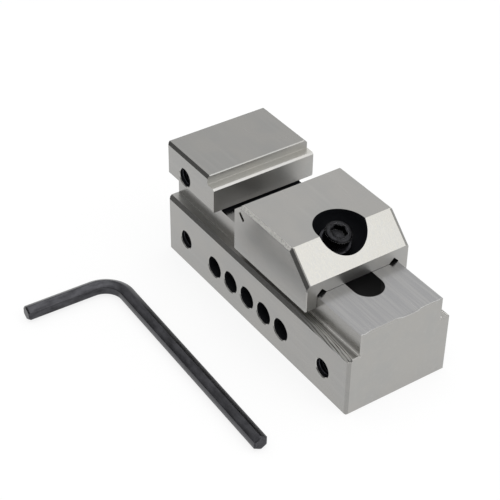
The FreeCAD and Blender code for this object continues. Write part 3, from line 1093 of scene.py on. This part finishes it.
@dataclass
class ViseBody:
    """Base, rail and fixed jaw, with the threads of its six tapped holes."""

    node: str = "vise_body"
    half_length: float = 32.05
    half_width: float = 12.5
    top: float = 27.8
    rail_top: float = 19.2
    ledge_top: float = 14.0
    jaw_face: float = -14.0
    seat_first: float = -13.95
    seat_pitch: float = 6.0
    seat_count: int = 5
    seat_height: float = 6.0
    seat_radius: float = 2.35
    tapped: tuple[tuple[float, float], ...] = ((-25.05, 6.3), (24.05, 6.3), (-25.15, 22.4))
    tapped_radius: float = 2.0
    tapped_depth: float = 5.4
    thread_pitch: float = 0.7
    slot: Cavity = Cavity((-12.1, -3.38, 7.3), (24.5, 3.38, 18.95))
    pocket: Cavity = Cavity((-19.1, -6.33, 0.06), (18.4, 6.33, 7.45))
    hole_mouth: float = 0.19
    ridge: float = 0.2

    def finish(self) -> GroundSteel:
        """The body's steel, with its dark hole walls, its painted shade and its painted highlights.

        Returns:
            The finish.
        """
        length, width = self.half_length, self.half_width
        ledge, top, jaw_face = self.ledge_top, self.top, self.jaw_face
        reach = width - self.hole_mouth
        row = BoreRow(
            self.seat_first,
            self.seat_pitch,
            self.seat_count,
            self.seat_height,
            self.seat_radius + ZONE_MARGIN,
            reach,
        )
        bore, across = self.tapped_radius + ZONE_MARGIN, (0.0, 1.0, 0.0)
        holes = tuple(Bore((x, 0.0, z), across, bore, -reach, reach) for x, z in self.tapped)
        relief = Cavity((-15.1, -width, 19.15), (jaw_face, width, 20.13))
        past, wide, narrow, small = 0.1, 0.8, 0.65, 0.35
        near, inner = -width - past, narrow - width
        base = Cavity((-length, near, ledge - wide), (length, wide - width, ledge + 0.01))
        # Painted shade on the long chamfers, the upright edges of both ends and the small chamfers
        # at the ends of the ledges.
        one_side = (
            Chamfer(base, 0.85, shade_fade_from=16.0),
            Chamfer(Cavity((-length, near, top - narrow), (jaw_face, inner, top + 0.01)), 0.8),
            Chamfer(Cavity((length - narrow, -width, 0.0), (length + past, inner, 13.3)), 0.35),
            Chamfer(Cavity((length - small, inner, 13.6), (length + past, -9.8, 14.06)), 0.5),
            Chamfer(Cavity((-length - past, -width, 0.0), (narrow - length, inner, top)), 0.45),
        )
        return GroundSteel(
            "body_steel",
            zones=(row, *holes, self.slot, self.pocket, relief),
            chamfers=tuple(chamfer for one in one_side for chamfer in one.pair()),
            deep=self.slot,
            # Painted shade on the fixed jaw's top and riser.
            painted_shade_space=Cavity((-length, -width, 25.95), (-16.2, width, top + 0.1)),
            # Painted highlight on the ledge of the fixed jaw's step.
            painted_highlight_space=Cavity((-16.5, -width, 25.6), (-13.9, width, 25.95)),
            rubbed=RubbedEdge(face=length, top=self.rail_top, width=0.27),
            ledge=MilledLedge(top=ledge, inner=9.9, centre_x=6.0, centre_y=250.0, spacing=0.4),
        )

    def build(self, frame: dict, tree: GeometryTree) -> None:
        """Dress the body and cut its threads.

        Args:
            frame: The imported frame.
            tree: The thread tree.
        """
        paint(frame["nodes"][self.node], self.finish().build())
        points, ways = [], []
        for side in (-1, 1):
            for x, z in self.tapped:
                points.append(Vector((x, side * (self.half_width - 0.25), z)) * MM)
                ways.append(Vector((0, -side, 0)))
        # The threads in the tapped holes are coloured as dark as the hole walls around them.
        dark = BlackOxide("thread_dark", colour=(0.05, 0.052, 0.06), wear=0.3)
        threads = tree.grow(
            "tapped_threads",
            points,
            ways,
            {
                "Radius": (self.tapped_radius - self.ridge * 0.5) * MM,
                "Pitch": self.thread_pitch * MM,
                "Turns": (self.tapped_depth - 1.2) / self.thread_pitch,
                "Ridge": self.ridge * MM,
                "Start": 0.25 * MM,
                "Crest": Crest.INWARD.value,
                "Material": dark.build(),
            },
        )
        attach(threads, "body")
        LOG.info("%s and %s dressed", self.node, threads.name)


@dataclass
class MovingJaw:
    """Jaw that slides on the rail, with the well of the clamping screw."""

    node: str = "moving_jaw"
    line: ScrewLine = ScrewLine()
    well_tilt: float = 22.0
    well_radius: float = 5.5
    well_reach: float = 9.0
    top: float = 27.8
    half_width: float = 12.48

    def finish(self) -> GroundSteel:
        """The jaw's steel, with its dark well, its scuffed top edge and painted shade on its
        chamfers.

        Returns:
            The finish.
        """
        tilt = math.radians(self.well_tilt)
        axis = (math.sin(tilt), 0.0, math.cos(tilt))
        radius, reach = self.well_radius + ZONE_MARGIN, self.well_reach
        well = Bore(self.line.pivot, axis, radius, -reach, reach)
        throat = Cavity((-2.0, -1.9, 15.0), (14.0, 1.9, 22.0))
        near, inner = -self.half_width - 0.1, 0.65 - self.half_width
        scuffed = Cavity((-7.0, near, self.top - 0.65), (12.2, inner, self.top + 0.01))
        # Painted shade on the nose's chamfers and on the chamfer across from the scuffed edge.
        nose = Chamfer(Cavity((12.4, near, 21.0), (18.2, 0.9 - self.half_width, 27.7)), 0.8)
        return GroundSteel(
            "jaw_steel",
            zones=(well, throat),
            chamfers=(*nose.pair(), Chamfer(scuffed.mirrored(), 0.6)),
            scuffed=scuffed,
            slope_marked=True,
        )

    def build(self, frame: dict) -> None:
        """Dress the jaw.

        Args:
            frame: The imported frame.
        """
        paint(frame["nodes"][self.node], self.finish().build())
        LOG.info("%s dressed", self.node)


@dataclass
class ClampScrew:
    """Socket head cap screw with a knurled head, and the washer under it."""

    node: str = "clamp_screw"
    washer: str = "spherical_washer"
    line: ScrewLine = ScrewLine()
    head_rise: float = 0.4
    head_radius: float = 2.8
    head_height: float = 3.0
    head_chamfer: float = 0.3
    knurl_depth: float = 0.08
    knurl_count: int = 44
    knurl_sunk: float = 0.06
    ridge: float = 0.16
    shank_radius: float = 1.5
    core_radius: float = 1.22
    length: float = 22.0
    pitch: float = 0.5
    across_flats: float = 3.03
    socket_depth: float = 1.7
    turned: float = 12.0
    segments: int = 96

    def place(self) -> Matrix:
        """Matrix from the screw's own frame, with Z down its length, to the row frame.

        Returns:
            The matrix, which also turns millimetres into metres.
        """
        turn = Matrix(self.line.axes()).transposed().to_4x4()
        spin = Matrix.Rotation(math.radians(self.turned), 4, "Z")
        top = self.line.at(-self.head_rise) * MM
        return Matrix.Translation(top) @ turn @ spin @ Matrix.Scale(MM, 4)

    def ring(self, radius: float, height: float) -> list[Vector]:
        """Circle round the screw's axis.

        Args:
            radius: Its radius.
            height: How far down the screw it lies.

        Returns:
            Its points in order.
        """
        step = math.tau / self.segments
        return [
            Vector((radius * math.cos(step * number), radius * math.sin(step * number), height))
            for number in range(self.segments)
        ]

    def hexagon(self, across_flats: float, height: float) -> list[Vector]:
        """Hexagon round the screw's axis, with as many points as a ring.

        Args:
            across_flats: Its width from flat to flat.
            height: How far down the screw it lies.

        Returns:
            Its points in order.
        """
        step = math.tau / self.segments
        points = []
        for number in range(self.segments):
            angle = step * number
            off = (angle + math.pi / 6) % (math.pi / 3) - math.pi / 6
            radius = across_flats / 2 / math.cos(math.pi / 6 - abs(off))
            points.append(Vector((radius * math.cos(angle), radius * math.sin(angle), height)))
        return points

    def body(self) -> bpy.types.Object:
        """Head, socket and core of the shank, as one closed shell.

        Returns:
            The new object.
        """
        head = self.head_radius - self.knurl_depth
        chamfer = self.head_chamfer
        corner = self.across_flats / 2 / math.cos(math.pi / 6)
        bottom = self.socket_depth
        tip = self.head_height + self.length
        loops = [
            self.ring(0.02, bottom + 0.7),
            self.ring(self.across_flats / 2 - 0.03, bottom),
            self.hexagon(self.across_flats - 0.02, bottom),
            self.hexagon(self.across_flats, bottom - 0.04),
            self.hexagon(self.across_flats, 0.2),
            self.ring(corner + 0.12, 0.0),
            self.ring(head - chamfer - 0.12, 0.0),
            self.ring(head - chamfer + 0.02, 0.05),
            self.ring(head - 0.04, chamfer - 0.02),
            self.ring(head, chamfer + 0.1),
            self.ring(head, self.head_height - 0.1),
            self.ring(head - 0.1, self.head_height),
            self.ring(self.core_radius + 0.15, self.head_height),
            self.ring(self.core_radius, self.head_height + 0.15),
            self.ring(self.core_radius, tip - 0.35),
            self.ring(self.core_radius - 0.3, tip),
        ]
        made = mesh_object("clamp_screw_body", loops)
        made.data.transform(self.place())
        smooth_by_angle(made, 30)
        return made

    def build(self, frame: dict, threads: GeometryTree, knurls: GeometryTree) -> None:
        """Make the screw, its thread and its knurl, and dress the washer.

        Args:
            frame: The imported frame.
            threads: The thread tree.
            knurls: The knurl tree.
        """
        oxide = BlackOxide(
            "screw_oxide",
            colour=(0.026, 0.026, 0.028),
            rubbed=(0.36, 0.36, 0.36),
            roughness=0.3,
            wear=0.95,
        )
        dark = oxide.build()
        body = self.body()
        paint(body, dark)
        start, down = self.line.at(-self.head_rise) * MM, self.line.axes()[2]
        thread = threads.grow(
            "clamp_screw_thread",
            [start],
            [down],
            {
                "Radius": (self.shank_radius - self.ridge) * MM,
                "Pitch": self.pitch * MM,
                "Turns": (self.length - 1.2) / self.pitch,
                "Ridge": self.ridge * MM,
                "Start": (self.head_height + 0.5) * MM,
                "Crest": Crest.OUTWARD.value,
                "Material": dark,
            },
        )
        sunk = self.knurl_sunk
        knurl = knurls.grow(
            "clamp_screw_knurl",
            [start],
            [down],
            {
                "Count": self.knurl_count,
                "Radius": (self.head_radius - self.knurl_depth - sunk) * MM,
                "Ridge": (self.knurl_depth + sunk) * MM,
                "Length": (self.head_height - self.head_chamfer - 0.35) * MM,
                "Start": (self.head_chamfer + 0.15) * MM,
                "Material": dark,
            },
        )
        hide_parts(self.node)
        for piece in (body, thread, knurl):
            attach(piece, "screw")
            LOG.info("%s built", piece.name)
        grey = (0.045, 0.045, 0.05)
        washer_oxide = BlackOxide("washer_oxide", colour=grey, roughness=0.36, wear=0.9)
        paint(frame["nodes"][self.washer], washer_oxide.build())
        LOG.info("%s dressed", self.washer)


@dataclass
class PullBar:
    """Cross bar under the rail and the spring on it."""

    bar: str = "pull_bar"
    spring: str = "bar_spring"
    line: ScrewLine = ScrewLine()
    spring_top: float = 9.27
    spring_bottom: float = 22.52
    coil_radius: float = 2.15
    wire_radius: float = 0.25
    coils: int = 8
    steps: int = 28
    wire_sides: int = 10
    bar_rise: float = 1.0

    def wire(self) -> bpy.types.Object:
        """Wind the spring round the screw.

        Returns:
            The spring, in metres.
        """
        front, side, down = self.line.axes()
        length = self.spring_bottom - self.spring_top
        last = self.coils * self.steps
        loops = []
        for number in range(last + 1):
            turn = math.tau * number / self.steps
            outward = front * math.cos(turn) + side * math.sin(turn)
            share = number / last
            centre = self.line.at(self.spring_top + length * share) + outward * self.coil_radius
            loop = []
            for corner in range(self.wire_sides):
                around = math.tau * corner / self.wire_sides
                spoke = outward * math.cos(around) + down * math.sin(around)
                loop.append((centre + spoke * self.wire_radius) * MM)
            loops.append(loop)
        made = mesh_object("bar_spring_wire", loops)
        smooth_by_angle(made, 50)
        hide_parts(self.spring)
        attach(made, "bar")
        foot = self.line.at(self.spring_bottom + self.wire_radius) * MM
        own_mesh(made)
        return made

    def build(self, frame: dict) -> None:
        """Dress the bar and the spring.

        Args:
            frame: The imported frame.
        """
        paint(frame["nodes"][self.bar], DrawnSteel("bar_steel", grain=(0.15, 3.0, 0.15)).build())
        wire = self.wire()
        paint(wire, DrawnSteel("spring_wire", colour=(0.35, 0.35, 0.36)).build())
        LOG.info("%s dressed, %s built in place of %s", self.bar, wire.name, self.spring)


@dataclass
class HexKey:
    """Bent hexagonal key with soft edges."""

    node: str = "hex_key"
    across_flats: float = 2.95
    edge_radius: float = 0.2
    corner_x: float = -26.4
    corner_y: float = -29.6
    turn: float = -1.5
    bend_radius: float = 5.4
    long_arm: float = 58.5
    short_arm: float = 22.2
    end_chamfer: float = 0.35
    corner_cut: float = 0.04
    corner_points: int = 4
    bend_steps: int = 20

    def section(self) -> list[tuple[float, float]]:
        """Hexagon with rounded corners, one of them down.

        Returns:
            Points (sideways, up) in order.
        """
        half = self.across_flats / 2
        points = []
        inner = (half - self.edge_radius) / math.cos(math.pi / 6)
        for number in range(6):
            middle = math.radians(60 * number - 90)
            for step in range(self.corner_points):
                share = step / (self.corner_points - 1) - 0.5
                angle = middle + share * math.pi / 3
                points.append(
                    (
                        inner * math.cos(middle) + self.edge_radius * math.cos(angle),
                        inner * math.sin(middle) + self.edge_radius * math.sin(angle),
                    )
                )
        return points

    def stations(self) -> list[tuple[Vector, Vector, float]]:
        """Places along the key.

        Returns:
            Centre, sideways direction and distance to the nearer end, in millimetres.
        """
        half = self.across_flats / 2
        height = half / math.cos(math.pi / 6)
        radius = self.bend_radius
        long_end, short_end = self.long_arm - half, self.short_arm - half
        near_end = [0.0, 0.1, 0.2, self.end_chamfer, 1.0]
        rows = []
        for gap in near_end + [8.0]:
            rows.append((Vector((0, gap - short_end, height)), Vector((1, 0, 0)), gap))
        for step in range(self.bend_steps + 1):
            angle = math.pi - math.pi / 2 * step / self.bend_steps
            outward = Vector((math.cos(angle), math.sin(angle), 0))
            centre = Vector((radius, -radius, height)) + outward * radius
            rows.append((centre, -outward, radius))
        for share in (0.25, 0.5, 0.75):
            along = radius + (long_end - radius) * share
            rows.append((Vector((along, 0, height)), Vector((0, -1, 0)), radius))
        for gap in reversed(near_end):
            rows.append((Vector((long_end - gap, 0, height)), Vector((0, -1, 0)), gap))
        turned = Matrix.Rotation(math.radians(self.turn), 3, "Z")
        corner = Vector((self.corner_x, self.corner_y, 0))
        return [
            (corner + turned @ centre, turned @ sideways, gap) for centre, sideways, gap in rows
        ]

    def build(self, frame: dict) -> None:
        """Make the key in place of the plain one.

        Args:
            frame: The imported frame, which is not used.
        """
        section = self.section()
        corner = self.across_flats / 2 / math.cos(math.pi / 6) - self.corner_cut
        loops = []
        lengths = []
        travelled = 0.0
        before = None
        for centre, sideways, gap in self.stations():
            limit = corner - max(0.0, self.end_chamfer - gap)
            loop = []
            for across, up in section:
                size = math.hypot(across, up)
                fit = min(1.0, limit / size)
                loop.append((centre + sideways * across * fit + Vector((0, 0, up * fit))) * MM)
            loops.append(loop)
            travelled += 0.0 if before is None else (centre - before).length
            lengths.append(travelled)
            before = centre
        key = mesh_object("hex_key_body", loops)
        self._unwrap(key, len(section), lengths)
        smooth_by_angle(key, 38)
        finish = BlackOxide(
            "key_oxide",
            colour=(0.056, 0.056, 0.061),
            rubbed=(0.25, 0.25, 0.255),
            roughness=0.33,
            grain=(4.0, 0.35, 1.0),
            follows_surface=True,
        )
        paint(key, finish.build())
        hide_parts(self.node)
        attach(key, "key")
        LOG.info("%s built in place of %s", key.name, self.node)

    def _unwrap(self, key: bpy.types.Object, count: int, lengths: list[float]) -> None:
        """Lay a UV map along and round the key, in metres.

        Args:
            key: The key, whose points are in rings.
            count: Points in each ring.
            lengths: Distance along the key of each ring, in millimetres.
        """
        around = math.tau * self.across_flats / 2 / count
        layer = key.data.uv_layers.new(name="along")
        for face in key.data.polygons:
            numbers = [key.data.loops[loop].vertex_index % count for loop in face.loop_indices]
            wraps = 0 in numbers and count - 1 in numbers
            for loop, number in zip(face.loop_indices, numbers):
                ring = key.data.loops[loop].vertex_index // count
                turn = count if wraps and number == 0 else number
                layer.data[loop].uv = (lengths[ring] * MM, turn * around * MM)


@dataclass(frozen=True)
class Softbox:
    """Rectangular softbox that faces the vise.

    Attributes:
        name: The lamp's name.
        way: Direction from the vise to the lamp.
        size: Its width and height.
        radiance: How bright its surface is.
        distance: How far away it hangs.
        target: Height of the spot that it faces.
    """

    name: str
    way: Point
    size: Span
    radiance: float
    distance: float = 520.0
    target: float = 14.0

    def hang(self) -> None:
        """Add the lamp to the scene."""
        data = bpy.data.lights.new(self.name, "AREA")
        data.shape = "RECTANGLE"
        data.size, data.size_y = (side * MM for side in self.size)
        data.energy = self.radiance * math.pi * data.size * data.size_y
        lamp = stand(self.name, data)
        direction = Vector(self.way).normalized()
        spot = Vector((0, 0, self.target)) * MM + direction * self.distance * MM
        turn = direction.to_track_quat("Z", "Y").to_matrix().to_4x4()
        lamp.matrix_world = Matrix.Translation(spot) @ turn


@dataclass
class Studio:
    """Camera, floor, world and lamps."""

    azimuth: float = 55.205
    elevation: float = 37.591
    roll: float = 0.901
    distance: float = 290.718
    aim: Point = (-0.05, 0.0, 13.0)
    shift_right: float = -10.707
    shift_up: float = 1.019
    focal_pixels: float = 1417.64
    picture: float = 500.0
    sensor: float = 36.0
    clip: Span = (10.0, 10000.0)
    floor_half: float = 3000.0
    floor_glow: float = 1.04
    floor_seen: float = 0.8
    paper: float = 0.9
    room: float = 0.87
    room_dim: float = 0.7
    lamps: tuple[Softbox, ...] = (
        Softbox("right_softbox", (0.66, 0.36, 0.66), (330, 300), 0.98),
        Softbox("overhead_softbox", (0.05, -0.02, 1.0), (420, 420), 1.1),
    )

    def camera(self) -> None:
        """Stand the camera where the photograph was taken from."""
        angles = (self.azimuth, self.elevation, self.roll)
        turn, rise, roll = (math.radians(angle) for angle in angles)
        level_back = math.cos(rise)
        back = Vector((math.sin(turn) * level_back, -math.cos(turn) * level_back, math.sin(rise)))
        level = Vector((math.cos(turn), math.sin(turn), 0))
        upward = back.cross(level)
        right = math.cos(roll) * level + math.sin(roll) * upward
        up = math.cos(roll) * upward - math.sin(roll) * level
        aim = Vector(self.aim) + self.shift_right * right + self.shift_up * up
        spot = aim + self.distance * back
        data = bpy.data.cameras.new("camera")
        data.sensor_width = self.sensor
        data.lens = self.sensor * self.focal_pixels / self.picture
        data.clip_start, data.clip_end = (reach * MM for reach in self.clip)
        camera = stand("camera", data)
        stance = Matrix((right, up, back)).transposed().to_4x4()
        camera.matrix_world = Matrix.Translation(spot * MM) @ stance
        bpy.context.scene.camera = camera

    def floor(self) -> None:
        """Lay a large pale floor that keeps a soft shadow."""
        size = self.floor_half * MM
        data = bpy.data.meshes.new("floor")
        corners = [(-size, -size, 0), (size, -size, 0), (size, size, 0), (-size, size, 0)]
        data.from_pydata(corners, [], [(0, 1, 2, 3)])
        floor = stand("floor", data)
        material, graph = new_material("floor_paper")
        rays = graph.node("ShaderNodeLightPath")
        kinds = ("Is Camera Ray", "Is Glossy Ray", "Is Transmission Ray")
        seen = union([Value(graph, rays.outputs[kind]) for kind in kinds])
        paper = graph.node("ShaderNodeBsdfDiffuse", None, {"Color": (*(self.paper,) * 3, 1)})
        white = {"Color": (1, 1, 1, 1), "Strength": self.floor_glow}
        glow = graph.node("ShaderNodeEmission", None, white)
        mixed = {0: seen * self.floor_seen, 1: paper.outputs[0], 2: glow.outputs[0]}
        shader = graph.node("ShaderNodeMixShader", None, mixed)
        graph.node("ShaderNodeOutputMaterial", None, {"Surface": shader.outputs[0]})
        data.materials.append(material)

    def world(self) -> None:
        """Fill the room with even light, darker low down on the photographed side."""
        world = bpy.data.worlds.new("room")
        bpy.context.scene.world = world
        world.use_nodes = True
        graph = Graph(world.node_tree)
        _, across, height = graph.split(graph.node("ShaderNodeTexCoord").outputs["Generated"])
        low = graph.smooth(height, 0.64, 0.48) * graph.smooth(height, -0.02, 0.1)
        dim = low * graph.smooth(0 - across, 0.1, 0.45)
        seen = Value(graph, graph.node("ShaderNodeLightPath").outputs["Is Camera Ray"])
        strength = (self.room - dim * self.room_dim) * (1 - seen) + seen
        light = {"Color": (1, 1, 1, 1), "Strength": strength}
        shade = graph.node("ShaderNodeBackground", None, light)
        graph.node("ShaderNodeOutputWorld", None, {"Surface": shade.outputs[0]})

    def build(self) -> None:
        """Set up the whole studio."""
        self.camera()
        self.floor()
        self.world()
        for lamp in self.lamps:
            lamp.hang()
        bpy.context.scene.view_settings.view_transform = "Standard"
        LOG.info("studio set up")


def corners(box: tuple[Vector, Vector]) -> list[list[float]]:
    """The two corners of a box, in metres, as plain lists."""
    return [[round(number, 6) for number in corner] for corner in box]


def main() -> None:
    """Build the looks, piece by piece."""
    logging.basicConfig(level=logging.INFO, format="%(message)s")
    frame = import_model()
    Studio().build()
    threads = thread_tree()
    knurls = knurl_tree()
    ViseBody().build(frame, threads)
    MovingJaw().build(frame)
    ClampScrew().build(frame, threads, knurls)
    PullBar().build(frame)
    HexKey().build(frame)


if __name__ == "__main__":
    main()
